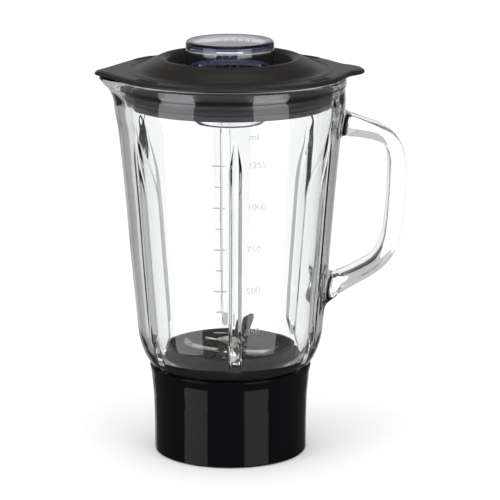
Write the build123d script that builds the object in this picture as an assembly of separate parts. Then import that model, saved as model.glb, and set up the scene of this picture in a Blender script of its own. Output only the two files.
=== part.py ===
"""Blender jug: a ribbed glass jug with its collar, blade unit, lid and measuring cap.

Millimetres, +Z up. The origin is the centre of the collar's bottom face. The handle points along +X and
the spout along -X. Heights called "..._z" are measured from the collar's bottom face.
"""

import os
from math import cos, radians, sin

from build123d import *

# ---------------------------------------------------------------- driving dimensions
# glass jug
rim_z = 232.0
rim_radius = 69.8
rim_wall = 4.3
wall_top_z = 188.0
wall_top_radius = 65.9
wall_foot_z = 73.0
wall_foot_radius = 56.0
body_wall = 4.8
neck_radius = 43.6
neck_bore_radius = 40.3
neck_foot_z = 34.5
neck_top_z = 49.5
rib_count = 6
rib_low_z = 66.0
rib_high_z = 204.0
rib_inward = 8.5
rib_thickness = 6.0
groove_low_z = 79.0
groove_high_z = 193.0
groove_depth = 1.8

# handle
grip_x = 100.8
grip_low_x = 98.2
grip_depth = 10.8
grip_width = 21.0
handle_root_z = 202.0
handle_top_z = 194.4
grip_low_z = 120.5
low_arm_slope = 0.53

# spout
spout_reach = 80.0
spout_half_width = 20.0
spout_low_z = 216.0

# collar
collar_height = 54.0
collar_foot_radius = 46.5
collar_top_radius = 49.2
collar_straight_z = 18.0
collar_bore_radius = 44.6
socket_radius = 44.2
shelf_low_z = 26.0
shelf_top_z = 29.5
shelf_hole_radius = 31.0

# blade unit
carrier_flange_radius = 43.6
bowl_radius = 39.7
bowl_wall = 2.4
bowl_top_z = 66.0
bowl_floor_z = 52.0
bowl_floor_thickness = 2.6
housing_radius = 8.5
housing_bore_radius = 6.5
housing_low_z = 27.1
housing_top_z = 57.0
shaft_radius = 4.0
shaft_end_radius = 3.0
running_gap = 0.04
blade_thickness = 1.5
coupling_radius = 17.0
coupling_low_z = 4.0
coupling_top_z = 24.4
insert_radius = 7.0
insert_low_z = 13.0
blade_turn = 66.0  # angle of the upper blade's first wing from the handle

# lid
lid_top_z = 235.0
lid_radius = 71.0
lid_tab_reach = 81.0
lid_thickness = 2.7
dome_foot_radius = 55.4
dome_crest_radius = 41.5
dome_rise = 8.0
lid_hole_radius = 27.2
dish_z = 233.2
skirt_radius = 61.5
skirt_foot_radius = 62.8
skirt_bore_radius = 57.8
skirt_low_z = 214.0
seal_groove_radius = 60.0
seal_lip_radius = 64.9

# measuring cap
cap_radius = 26.5
cap_wall = 2.2
cap_height = 48.5
cap_top_z = 252.3
cap_flange_radius = 33.0
cap_flange_drop = 15.9
cap_flange_thickness = 3.2
cap_lug_reach = 29.2


# ---------------------------------------------------------------- helpers
def turned(*lines, arc=360.0):
    """Turn an outline, drawn as radius and height, about the vertical axis."""
    edges = [edge for line in lines for edge in line.edges()]
    return revolve(Plane.XZ * make_face(edges), Axis.Z, revolution_arc=arc)


def ring(inner, outer, low, high):
    """A plain ring between two radii and two heights."""
    return turned(Polyline((inner, low), (outer, low), (outer, high), (inner, high), (inner, low)))


def rod(radius, low, high):
    """A plain round rod on the vertical axis."""
    return Pos(0, 0, low) * Cylinder(radius, high - low, align=(Align.CENTER, Align.CENTER, Align.MIN))


def capsule(radius, low, high):
    """A round-ended bar between two points."""
    low = Vector(*low)
    high = Vector(*high)
    span = high - low
    bar = Plane(origin=(low + high) * 0.5, z_dir=span) * Cylinder(radius, span.length)
    return bar + Pos(low) * Sphere(radius) + Pos(high) * Sphere(radius)


def round_the_axis(shape, count, start=0.0):
    """Copies of a shape, evenly spaced round the vertical axis."""
    return [Rot(0, 0, start + 360.0 / count * index) * shape for index in range(count)]


def save(shape, node):
    """Write one sub-part to its own file."""
    export_step(shape, f"parts/{node}.step")


# ---------------------------------------------------------------- glass jug
wall_slope = (wall_top_radius - wall_foot_radius) / (wall_top_z - wall_foot_z)
flare_z = rim_z - 13.0


def wall_radius(z):
    """Outer radius of the straight part of the jug's wall."""
    return wall_foot_radius + (z - wall_foot_z) * wall_slope


def jug_outside():
    """The jug's outer form as one solid, from the neck to the rounded rim."""
    rim_round = rim_wall / 2
    shoulder = Spline(
        (neck_radius, neck_top_z),
        (49.2, 56.0),
        (wall_foot_radius, wall_foot_z),
        tangents=[(0.4, 1.0), (wall_slope, 1.0)],
    )
    flare = Spline(
        (wall_top_radius, wall_top_z),
        (rim_radius, flare_z),
        tangents=[(wall_slope, 1.0), (0.0, 1.0)],
    )
    return turned(
        Polyline((0, rim_z), (0, neck_foot_z), (neck_radius, neck_foot_z), (neck_radius, neck_top_z)),
        shoulder,
        Line((wall_foot_radius, wall_foot_z), (wall_top_radius, wall_top_z)),
        flare,
        Line((rim_radius, flare_z), (rim_radius, rim_z - rim_round)),
        RadiusArc((rim_radius, rim_z - rim_round), (rim_radius - rim_round, rim_z), -rim_round),
        Line((rim_radius - rim_round, rim_z), (0, rim_z)),
    )


def jug_inside():
    """The space inside the glass, open through the neck and the rim."""
    rim_round = rim_wall / 2
    mouth = rim_radius - rim_wall
    foot = wall_foot_radius - body_wall
    top = wall_top_radius - body_wall
    shoulder = Spline(
        (neck_bore_radius, neck_top_z + 3.0),
        (45.0, 60.0),
        (foot, wall_foot_z + 3.0),
        tangents=[(0.4, 1.0), (wall_slope, 1.0)],
    )
    flare = Spline((top, wall_top_z), (mouth, flare_z), tangents=[(wall_slope, 1.0), (0.0, 1.0)])
    return turned(
        Polyline(
            (0, rim_z + 1.0),
            (0, neck_foot_z - 1.0),
            (neck_bore_radius, neck_foot_z - 1.0),
            (neck_bore_radius, neck_top_z + 3.0),
        ),
        shoulder,
        Line((foot, wall_foot_z + 3.0), (top, wall_top_z)),
        flare,
        Line((mouth, flare_z), (mouth, rim_z - rim_round)),
        RadiusArc((mouth, rim_z - rim_round), (mouth + rim_round, rim_z), rim_round),
        Polyline((mouth + rim_round, rim_z), (mouth + rim_round, rim_z + 1.0), (0, rim_z + 1.0)),
    )


def inner_radius(z):
    """Radius of the jug's inner wall, along the straight part and a little beyond it."""
    return wall_radius(z) - body_wall


def rib():
    """An upright fin on the inner wall that fades out under the rim."""
    set_in = 2.0
    outline = Polyline(
        (inner_radius(rib_low_z) + set_in, rib_low_z),
        (inner_radius(rib_low_z) - 3.0, rib_low_z + 1.0),
        (inner_radius(80.0) - rib_inward, 80.0),
        (inner_radius(178.0) - rib_inward, 178.0),
        (inner_radius(192.0) - 5.0, 192.0),
        (inner_radius(rib_high_z) + set_in, rib_high_z),
        (inner_radius(rib_low_z) + set_in, rib_low_z),
    )
    plate = extrude(Plane.XZ * make_face(outline.edges()), rib_thickness / 2, both=True)
    long_edges = plate.edges().filter_by(lambda edge: 20.0 < edge.length < 120.0)
    crest = long_edges.filter_by(lambda edge: edge.center().X < inner_radius(edge.center().Z) - 4.0)
    return fillet(crest, rib_thickness / 2 - 0.4)


def groove_bar():
    """A bar that cuts the shallow groove outside each rib."""
    radius = 5.0
    offset = radius - groove_depth
    low = (wall_radius(groove_low_z) + offset, 0, groove_low_z)
    high = (wall_radius(groove_high_z) + offset, 0, groove_high_z)
    return capsule(radius, low, high)


def handle():
    """The solid glass handle: out from below the rim, down the grip and back to the wall."""
    root_x = 60.0
    low_root_x = 50.0
    path = FilletPolyline(
        (root_x, 0, handle_root_z),
        (grip_x, 0, handle_top_z),
        (grip_low_x, 0, grip_low_z),
        (low_root_x, 0, grip_low_z - (grip_low_x - low_root_x) * low_arm_slope),
        radius=[13.0, 19.0],
    )
    start = Plane(origin=path @ 0, x_dir=(0, 1, 0), z_dir=path % 0)
    return sweep(start * RectangleRounded(grip_width, grip_depth, 4.0), path=path)


def spout(half_width, reach, low, foot):
    """A dished cone that leans out of the rim."""
    centre = -rim_radius + 6.0
    top = Plane(origin=(centre, 0, rim_z)) * Ellipse(reach + centre, half_width)
    bottom = Plane(origin=(-rim_radius + 5.0, 0, low)) * Ellipse(foot / 2, foot)
    return loft([bottom, top])


def glass_jug():
    """Jug, ribs, spout, handle and thread ridges, pressed in one piece of glass."""
    outside = jug_outside()
    inside = jug_inside()
    ribs = round_the_axis(rib(), rib_count, 30.0)
    grooves = round_the_axis(groove_bar(), rib_count, 30.0)
    thread = [
        Rot(0, 0, 120.0 * index) * turned(
            Polyline((42.0, 40.0), (neck_radius, 40.0), (44.2, 41.0), (44.2, 42.0),
                     (neck_radius, 43.0), (42.0, 43.0), (42.0, 40.0)),
            arc=70.0,
        )
        for index in range(3)
    ]
    lip = spout(spout_half_width, spout_reach, spout_low_z, 7.0)
    lip_cut = spout(spout_half_width - rim_wall, spout_reach - rim_wall, spout_low_z + 3.0, 3.0)
    body = outside + lip + handle() - inside
    body -= Pos(0, 0, 0.2) * lip_cut
    body += [fin & outside for fin in ribs]
    body -= grooves
    body += thread
    return body


# ---------------------------------------------------------------- collar
def collar():
    """Gloss black collar: screwed round the jug's neck above, socket for the drive outlet below."""
    body = turned(
        Polyline(
            (socket_radius, 0),
            (collar_foot_radius - 0.8, 0),
            (collar_foot_radius, 0.8),
            (collar_foot_radius, collar_straight_z),
            (47.0, 36.0),
        ),
        Spline((47.0, 36.0), (collar_top_radius, collar_height - 0.6), tangents=[(0.03, 1.0), (0.25, 1.0)]),
        Polyline(
            (collar_top_radius, collar_height - 0.6),
            (collar_top_radius - 0.6, collar_height),
            (collar_top_radius - 1.4, collar_height),
            (collar_bore_radius, 44.0),
            (collar_bore_radius, shelf_top_z),
            (shelf_hole_radius, shelf_top_z),
            (shelf_hole_radius, shelf_low_z),
            (socket_radius, shelf_low_z),
            (socket_radius, 0),
        ),
    )
    lug = turned(Polyline((41.5, 3.0), (45.0, 3.0), (45.0, 6.0), (41.5, 6.0), (41.5, 3.0)), arc=24.0)
    return body + round_the_axis(lug, 3, 18.0)


# ---------------------------------------------------------------- blade unit, fixed pieces
def blade_carrier():
    """Black bowl that closes the jug's neck and carries the bearing."""
    neck = bowl_radius - 1.2
    floor_low = bowl_floor_z - bowl_floor_thickness
    body = turned(
        Polyline(
            (30.0, shelf_top_z),
            (carrier_flange_radius, shelf_top_z),
            (carrier_flange_radius, shelf_top_z + 3.0),
            (neck, shelf_top_z + 3.0),
            (bowl_radius, 60.0),
            (bowl_radius, bowl_top_z - 1.0),
            (bowl_radius - 0.8, bowl_top_z),
            (bowl_radius - bowl_wall, bowl_top_z - 0.4),
            (bowl_radius - bowl_wall, 60.0),
            (33.0, bowl_floor_z + 1.2),
            (14.0, bowl_floor_z),
            (13.0, 55.0),
            (11.0, 55.0),
            (11.0, 53.6),
            (housing_radius + 0.1, 53.6),
            (housing_radius + 0.1, 35.0),
            (12.5, 35.0),
            (13.0, floor_low),
            (32.0, floor_low),
            (neck - bowl_wall, floor_low - 3.0),
            (neck - bowl_wall, shelf_top_z + 3.0),
            (30.0, shelf_top_z + 3.0),
            (30.0, shelf_top_z),
        )
    )
    rib = Pos(22.0, 0, 43.5) * Box(20.0, 2.0, 13.0)
    bore = rod(12.0, 35.0, 50.0)
    return body + [web - bore for web in round_the_axis(rib, 6)]


def bearing_housing():
    """Flanged steel sleeve that holds the bushes and the shaft seal."""
    sleeve = ring(housing_bore_radius, housing_radius, housing_low_z, 55.0)
    return sleeve + ring(housing_bore_radius, 12.0, 55.0, housing_top_z)


def housing_nut():
    """Thin hexagon nut that clamps the bearing housing in the carrier."""
    blank = extrude(Plane.XY.offset(31.0) * RegularPolygon(11.8, 6), 4.0)
    return blank - rod(housing_radius, 30.0, 36.0)


def drive_shaft():
    """Steel shaft, stepped down at the top for the blades, with a groove for the circlip."""
    return turned(
        Polyline(
            (0, 13.5), (3.4, 13.5), (shaft_radius, 14.1), (shaft_radius, 25.0), (3.4, 25.0), (3.4, 26.1),
            (shaft_radius, 26.1), (shaft_radius, 57.6), (shaft_end_radius, 57.6), (shaft_end_radius, 67.6),
            (0, 67.6), (0, 13.5),
        )
    )


def circlip():
    """Open spring ring in the shaft's groove."""
    clip = ring(3.45, 6.6, 25.05, 26.05)
    return clip - Pos(5.0, 0, 25.5) * Box(5.0, 3.4, 3.0)


# ---------------------------------------------------------------- rotor
def blade_hub():
    """The round middle of a blade stamping."""
    return ring(shaft_end_radius, 10.0, 0, blade_thickness)


def wing(length, root_width, tip_width, climb, start):
    """One flat wing with a raked tip, rising from the hub at an angle of climb degrees."""
    rise = radians(climb)
    plate = Plane(origin=(start, 0, 0.2), x_dir=(cos(rise), 0, sin(rise)), z_dir=(-sin(rise), 0, cos(rise)))
    half_root = root_width / 2
    outline = make_face(
        Polyline(
            (0, -half_root),
            (length * 0.55, -half_root),
            (length - 2.0, -half_root + 1.0),
            (length, -half_root + 2.5),
            (length - 1.0, -half_root + 2.5 + tip_width),
            (length * 0.5, half_root - 1.0),
            (0, half_root),
            (0, -half_root),
        ).edges()
    )
    return plate * extrude(outline, blade_thickness)


def upper_blade():
    """Two wings that rise from the hub."""
    wings = round_the_axis(wing(25.5, 10.5, 3.0, 32.0, 9.5), 2)
    return Pos(0, 0, 63.6) * Rot(0, 0, blade_turn) * (blade_hub() + wings)


def lower_blade():
    """Two long, nearly level wings whose tips turn up."""
    flat = wing(17.5, 12.0, 7.0, 4.0, 9.0)
    tip = Plane(origin=(24.7, 0, 1.35), x_dir=(cos(radians(38)), 0, sin(radians(38))),
                z_dir=(-sin(radians(38)), 0, cos(radians(38))))
    tip_outline = make_face(
        Polyline((-0.5, -5.4), (5.0, -4.8), (7.5, -2.0), (6.0, 2.6), (-0.5, 3.2), (-0.5, -5.4)).edges()
    )
    tip_plate = tip * extrude(tip_outline, blade_thickness)
    wings = round_the_axis(flat, 2) + round_the_axis(tip_plate, 2)
    return Pos(0, 0, 58.6) * Rot(0, 0, blade_turn + 90.0) * (blade_hub() + wings)


def blade_head():
    """Round domed nut that clamps the blades."""
    head = turned(
        Polyline((0, 65.1), (8.6, 65.1), (8.6, 67.6), (7.8, 68.6), (0, 69.3), (0, 65.1)),
    )
    return head - rod(shaft_end_radius, 64.0, 67.7)


def drive_coupling():
    """Six-lobed dog under the shaft, with a star socket for the drive outlet."""
    body = rod(coupling_radius, coupling_low_z, 22.0) + rod(9.5, 22.0, coupling_top_z)
    body -= round_the_axis(Pos(coupling_radius + 1.4, 0, 13.0) * Cylinder(4.0, 24.0), 6, 30.0)
    socket = rod(8.2, coupling_low_z - 1.0, insert_low_z)
    slot_middle_z = (coupling_low_z + insert_low_z - 1.0) / 2
    slots = round_the_axis(Pos(8.2, 0, slot_middle_z) * Cylinder(2.6, insert_low_z - coupling_low_z - 1.0), 6)
    return body - socket - slots - rod(insert_radius, insert_low_z, coupling_top_z + 1.0)


def coupling_insert():
    """Brass insert moulded into the coupling, screwed on the shaft."""
    return rod(insert_radius, insert_low_z, coupling_top_z) - rod(shaft_radius, 13.5, coupling_top_z + 1.0)


# ---------------------------------------------------------------- lid
def tab(side, tip_radius, root_angle, tip_angle):
    """A flat tab that grows out of the lid's edge in a smooth sweep."""
    centre = lid_tab_reach - tip_radius
    root = radians(root_angle)
    tip = radians(tip_angle)
    edge_start = Vector(lid_radius * cos(root), lid_radius * sin(root))
    tip_start = Vector(centre + tip_radius * cos(tip), tip_radius * sin(tip))
    upper = Spline(edge_start, tip_start, tangents=[(sin(root), -cos(root)), (sin(tip), -cos(tip))])
    nose = RadiusArc(tip_start, (tip_start.X, -tip_start.Y), tip_radius)
    lower = mirror(upper, about=Plane.XZ)
    back = Polyline((edge_start.X, -edge_start.Y), (40.0, 0), (edge_start.X, edge_start.Y))
    outline = make_face([*upper.edges(), *nose.edges(), *lower.edges(), *back.edges()])
    plate = extrude(Plane.XY.offset(lid_top_z - lid_thickness) * outline, lid_thickness)
    turn = 0.0 if side > 0 else 180.0
    return Rot(0, 0, turn) * (plate - rod(skirt_radius + 1.0, 200.0, 240.0))


def lid():
    """Black lid: flange with two tabs, raised crest, dished middle with the cap's hole, and a skirt."""
    under = lid_top_z - lid_thickness
    crest_z = lid_top_z + dome_rise
    hole_low_z = 228.4
    body = turned(
        Polyline(
            (lid_hole_radius, dish_z),
            (lid_hole_radius, hole_low_z),
            (lid_hole_radius + 4.6, hole_low_z),
            (lid_hole_radius + 4.6, dish_z - 2.5),
            (37.0, dish_z - 1.5),
        ),
        Spline((37.0, dish_z - 1.5), (dome_crest_radius, crest_z - 2.7), (50.5, under),
               tangents=[(1.0, 1.2), (1.0, -1.0)]),
        Polyline(
            (50.5, under),
            (skirt_bore_radius, under - 1.0),
            (skirt_bore_radius, skirt_low_z),
            (skirt_foot_radius, skirt_low_z),
            (skirt_foot_radius, 217.4),
            (seal_groove_radius, 217.4),
            (seal_groove_radius, 228.4),
            (skirt_radius, 228.4),
            (skirt_radius, under),
            (lid_radius - 0.8, under),
            (lid_radius, under + 0.8),
            (lid_radius, lid_top_z - 0.8),
            (lid_radius - 1.2, lid_top_z),
            (dome_foot_radius, lid_top_z),
        ),
        Spline((dome_foot_radius, lid_top_z), (dome_crest_radius, crest_z), (34.5, dish_z),
               tangents=[(-1.0, 0.6), (-1.0, -1.2)]),
        Line((34.5, dish_z), (lid_hole_radius, dish_z)),
    )
    body += tab(1, 16.0, 24.0, 62.0)
    body += tab(-1, 9.0, 30.0, 55.0)
    notch = Pos(0, 0, 231.0) * Box(2 * (cap_lug_reach + 0.5), 15.0, 12.0)
    return body - (notch - rod(lid_hole_radius - 1.0, 220.0, 240.0))


def lid_seal():
    """Silicone ring in the skirt's groove, with two lips that press on the glass."""
    base = 61.6
    low = 217.5
    high = 228.3
    lips = [219.6, 224.4]
    outline = [(seal_groove_radius, low), (base, low)]
    for lip_z in lips:
        outline += [
            (base, lip_z - 0.9),
            (seal_lip_radius, lip_z + 0.1),
            (seal_lip_radius, lip_z + 1.1),
            (base, lip_z + 0.9),
        ]
    outline += [(base, high), (seal_groove_radius, high), (seal_groove_radius, low)]
    return turned(Polyline(*outline))


# ---------------------------------------------------------------- measuring cap
def measuring_cap():
    """Clear cap: closed at the top, open below, with a flange that rests on the lid and two lugs."""
    flange_top = cap_top_z - cap_flange_drop
    flange_low = flange_top - cap_flange_thickness
    foot = cap_top_z - cap_height
    body = turned(
        Polyline(
            (0, cap_top_z), (cap_radius - 1.0, cap_top_z), (cap_radius, cap_top_z - 1.0),
            (cap_radius, flange_top), (cap_flange_radius - 0.4, flange_top + 0.5),
            (cap_flange_radius, flange_top), (cap_flange_radius - 0.3, flange_low),
            (cap_radius, flange_low), (cap_radius, foot), (cap_radius - cap_wall, foot),
            (cap_radius - cap_wall, cap_top_z - 5.0), (cap_radius - cap_wall - 2.0, cap_top_z - 3.0),
            (0, cap_top_z - 3.0), (0, cap_top_z),
        )
    )
    lug_low = cap_top_z - 29.2
    lug = Pos(cap_lug_reach - 2.6, 0, lug_low + 2.2) * Box(5.2, 12.0, 4.4)
    keep = ring(cap_radius - 1.0, cap_lug_reach, lug_low - 1.0, lug_low + 6.0)
    return body + [piece & keep for piece in round_the_axis(lug, 2)]


# ---------------------------------------------------------------- parts list
parts = {
    "collar": collar(),
    "glass_jug": glass_jug(),
    "blade_carrier": blade_carrier(),
    "jug_gasket": ring(neck_bore_radius + 0.2, 43.4, shelf_top_z + 3.05, neck_foot_z - 0.05),
    "bearing_housing": bearing_housing(),
    "housing_seal": Pos(0, 0, 54.3) * Torus(9.9, 0.65),
    "housing_nut": housing_nut(),
    "upper_bush": ring(shaft_radius + running_gap, housing_bore_radius, 44.0, 54.0),
    "lower_bush": ring(shaft_radius + running_gap, housing_bore_radius, housing_low_z, 37.0),
    "shaft_seal": ring(shaft_radius + running_gap, housing_bore_radius, 54.2, housing_top_z),
    "drive_shaft": drive_shaft(),
    "thrust_washer": ring(shaft_radius, 7.6, 26.15, 26.95),
    "circlip": circlip(),
    "slinger_washer": ring(shaft_end_radius, 9.6, 57.6, 58.6),
    "lower_blade": lower_blade(),
    "blade_spacer": ring(shaft_end_radius, 6.4, 60.1, 63.6),
    "upper_blade": upper_blade(),
    "blade_head": blade_head(),
    "drive_coupling": drive_coupling(),
    "coupling_insert": coupling_insert(),
    "lid": lid(),
    "lid_seal": lid_seal(),
    "measuring_cap": measuring_cap(),
}

os.makedirs("parts", exist_ok=True)
for node, shape in parts.items():
    save(shape, node)
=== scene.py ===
"""Glass blender jug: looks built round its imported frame.

Shapes are written in millimetres from the centre of the collar's bottom face, with the handle along +X and
the spout along -X. Every mesh is turned to metres as it is made.
"""

import math

import bmesh
import bpy
from bpy.props import FloatProperty, FloatVectorProperty, IntProperty, PointerProperty, StringProperty
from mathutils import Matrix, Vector


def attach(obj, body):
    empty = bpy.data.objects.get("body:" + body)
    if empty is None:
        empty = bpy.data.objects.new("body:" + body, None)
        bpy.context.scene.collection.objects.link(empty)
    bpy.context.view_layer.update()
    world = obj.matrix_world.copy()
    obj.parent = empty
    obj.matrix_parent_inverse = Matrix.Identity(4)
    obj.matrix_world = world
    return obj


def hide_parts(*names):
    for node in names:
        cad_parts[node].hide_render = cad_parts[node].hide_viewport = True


bl_info = {
    "name": "Glass blender jug",
    "version": (1, 0, 0),
    "blender": (4, 5, 0),
    "location": "3D View > Sidebar > Blender jug",
    "description": "Builds a ribbed glass blender jug with its collar, blades, lid and measuring cap",
    "category": "Add Mesh",
}

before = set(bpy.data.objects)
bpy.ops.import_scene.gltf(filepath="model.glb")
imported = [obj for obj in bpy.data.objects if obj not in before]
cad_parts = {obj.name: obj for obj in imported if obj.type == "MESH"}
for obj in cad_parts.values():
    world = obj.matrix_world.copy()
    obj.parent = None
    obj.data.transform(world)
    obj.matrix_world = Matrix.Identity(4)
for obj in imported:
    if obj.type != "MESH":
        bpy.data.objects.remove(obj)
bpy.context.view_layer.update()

MM = 0.001


# ---------------------------------------------------------------- outlines
def smooth(low, high, value):
    """0 below low, 1 above high, and an S between them."""
    share = min(1.0, max(0.0, (value - low) / (high - low)))
    return share * share * (3.0 - 2.0 * share)


def curve_through(table):
    """A function that follows a table of places and values smoothly, without overshooting."""
    places = [row[0] for row in table]
    values = [row[1] for row in table]
    gaps = [after - before for before, after in zip(places, places[1:])]
    rises = [(after - before) / gap for before, after, gap in zip(values, values[1:], gaps)]
    slopes = [rises[0]]
    for before, after in zip(rises, rises[1:]):
        slopes.append(0.0 if before * after <= 0 else 2.0 * before * after / (before + after))
    slopes.append(rises[-1])

    def value_at(place):
        index = max(0, min(len(gaps) - 1, sum(1 for start in places[1:-1] if start <= place)))
        gap = gaps[index]
        share = min(1.0, max(0.0, (place - places[index]) / gap))
        rest = 1.0 - share
        return (
            values[index] * (1 + 2 * share) * rest * rest
            + slopes[index] * gap * share * rest * rest
            + values[index + 1] * share * share * (3 - 2 * share)
            - slopes[index + 1] * gap * share * share * rest
        )

    return value_at


def rounded(corners, closed=True, steps=5):
    """An outline whose corners are rounded by their third number, with short straight runs beside each."""
    points = []
    count = len(corners)
    for index, corner in enumerate(corners):
        here = Vector(corner[:2])
        radius = corner[2] if len(corner) > 2 else 0.0
        if radius == 0.0 or (not closed and index in (0, count - 1)):
            points.append(tuple(here))
            continue
        before = Vector(corners[index - 1][:2]) - here
        after = Vector(corners[(index + 1) % count][:2]) - here
        room = 0.46 * min(before.length, after.length)
        before.normalize()
        after.normalize()
        half = before.angle(after) / 2
        reach = min(radius / math.tan(half), room)
        radius = reach * math.tan(half)
        centre = here + (before + after).normalized() * (radius / math.sin(half))
        start = here + before * reach - centre
        end = here + after * reach - centre
        sweep = start.angle(end)
        hold = min(0.3, 0.08 * room)
        points.append(tuple(centre + start + before * hold))
        for step in range(steps + 1):
            share = step / steps
            arm = start * math.sin((1 - share) * sweep) + end * math.sin(share * sweep)
            points.append(tuple(centre + arm / math.sin(sweep)))
        points.append(tuple(centre + end + after * hold))
    return points


# ---------------------------------------------------------------- meshes
def mesh_object(name, vertices, faces, crease=38.0):
    """A linked object with its place in its mesh, closed seams, faces outwards and smooth shading."""
    mesh = bpy.data.meshes.new(name)
    build = bmesh.new()
    corners = [build.verts.new(Vector(point) * MM) for point in vertices]
    for face in faces:
        build.faces.new([corners[index] for index in face])
    bmesh.ops.remove_doubles(build, verts=build.verts, dist=1e-7)
    bmesh.ops.dissolve_degenerate(build, edges=build.edges, dist=1e-8)
    bmesh.ops.recalc_face_normals(build, faces=build.faces)
    build.to_mesh(mesh)
    build.free()
    return linked(name, mesh, crease)


def linked(name, mesh, crease=38.0):
    """Link an object for a mesh and shade it smooth up to the crease angle."""
    mesh.shade_smooth()
    mesh.set_sharp_from_angle(angle=math.radians(crease))
    piece = bpy.data.objects.new(name, mesh)
    bpy.context.scene.collection.objects.link(piece)
    return piece


def grid_faces(columns, rows, close_columns=True, close_rows=True):
    """Faces over a grid of points numbered column by column."""
    faces = []
    for column in range(columns if close_columns else columns - 1):
        beside = (column + 1) % columns
        for row in range(rows if close_rows else rows - 1):
            above = (row + 1) % rows
            faces.append((column * rows + row, beside * rows + row, beside * rows + above, column * rows + above))
    return faces


def bar_faces(sections, rows):
    """Faces of a bar whose sections are numbered one after another, with both ends closed."""
    last = (sections - 1) * rows
    return [
        *grid_faces(sections, rows, False, True),
        tuple(range(rows)),
        tuple(last + row for row in reversed(range(rows))),
    ]


def shell(name, angles, outline, closed=True, crease=38.0):
    """A form round the vertical axis whose outline of radius and height may change with the angle."""
    vertices = []
    for angle in angles:
        across, along = math.cos(math.radians(angle)), math.sin(math.radians(angle))
        vertices += [(radius * across, radius * along, height) for radius, height in outline(angle)]
    rows = len(vertices) // len(angles)
    return mesh_object(name, vertices, grid_faces(len(angles), rows, True, closed), crease)


def turned(name, corners, closed=True, segments=160, crease=38.0):
    """A plain turned form from an outline with rounded corners."""
    points = rounded(corners, closed)
    angles = [360.0 * index / segments for index in range(segments)]
    return shell(name, angles, lambda angle: points, closed, crease)


def shell_arc(name, corners, arc, corner_radius=0.4, steps=10):
    """A short curved bar, swept round the axis over an arc, with soft corners and closed ends."""
    points = rounded([(*corner, corner_radius) for corner in corners], True, 3)
    vertices = []
    for step in range(steps + 1):
        turn = math.radians(arc * step / steps)
        vertices += [(radius * math.cos(turn), radius * math.sin(turn), height) for radius, height in points]
    return mesh_object(name, vertices, bar_faces(steps + 1, len(points)))


def pebble(name, centre, half, square=0.5, columns=16, rows=8):
    """A small closed form between an ellipsoid (square 1) and a soft-edged block (square near 0)."""

    def power(value):
        return math.copysign(abs(value) ** square, value)

    vertices = []
    for column in range(columns):
        turn = 2 * math.pi * column / columns
        for row in range(rows + 1):
            lift = math.pi * (row / rows - 0.5)
            girth = power(math.cos(lift)) if 0 < row < rows else 0.0
            vertices.append((
                centre[0] + half[0] * girth * power(math.cos(turn)),
                centre[1] + half[1] * girth * power(math.sin(turn)),
                centre[2] + half[2] * power(math.sin(lift)),
            ))
    return mesh_object(name, vertices, grid_faces(columns, rows + 1, True, False), 60.0)


def joined(name, pieces, crease=38.0):
    """One object from several whose meshes are already in place."""
    build = bmesh.new()
    for piece in pieces:
        build.from_mesh(piece.data)
        mesh = piece.data
        bpy.data.objects.remove(piece)
        bpy.data.meshes.remove(mesh)
    mesh = bpy.data.meshes.new(name)
    build.to_mesh(mesh)
    build.free()
    return linked(name, mesh, crease)


def baked(piece, crease=38.0):
    """Turn a piece's live modifiers into a plain mesh and remove them."""
    bpy.context.view_layer.update()
    mesh = bpy.data.meshes.new_from_object(piece.evaluated_get(bpy.context.evaluated_depsgraph_get()))
    before = piece.data
    piece.modifiers.clear()
    piece.data = mesh
    bpy.data.meshes.remove(before)
    mesh.shade_smooth()
    mesh.set_sharp_from_angle(angle=math.radians(crease))
    return piece


def combine(piece, other, operation):
    """Unite a closed piece with another or cut the other from it, exactly."""
    change = piece.modifiers.new("combine", "BOOLEAN")
    change.operation = operation
    change.solver = "EXACT"
    change.object = other
    baked(piece)
    bpy.data.objects.remove(other)
    return piece


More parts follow.
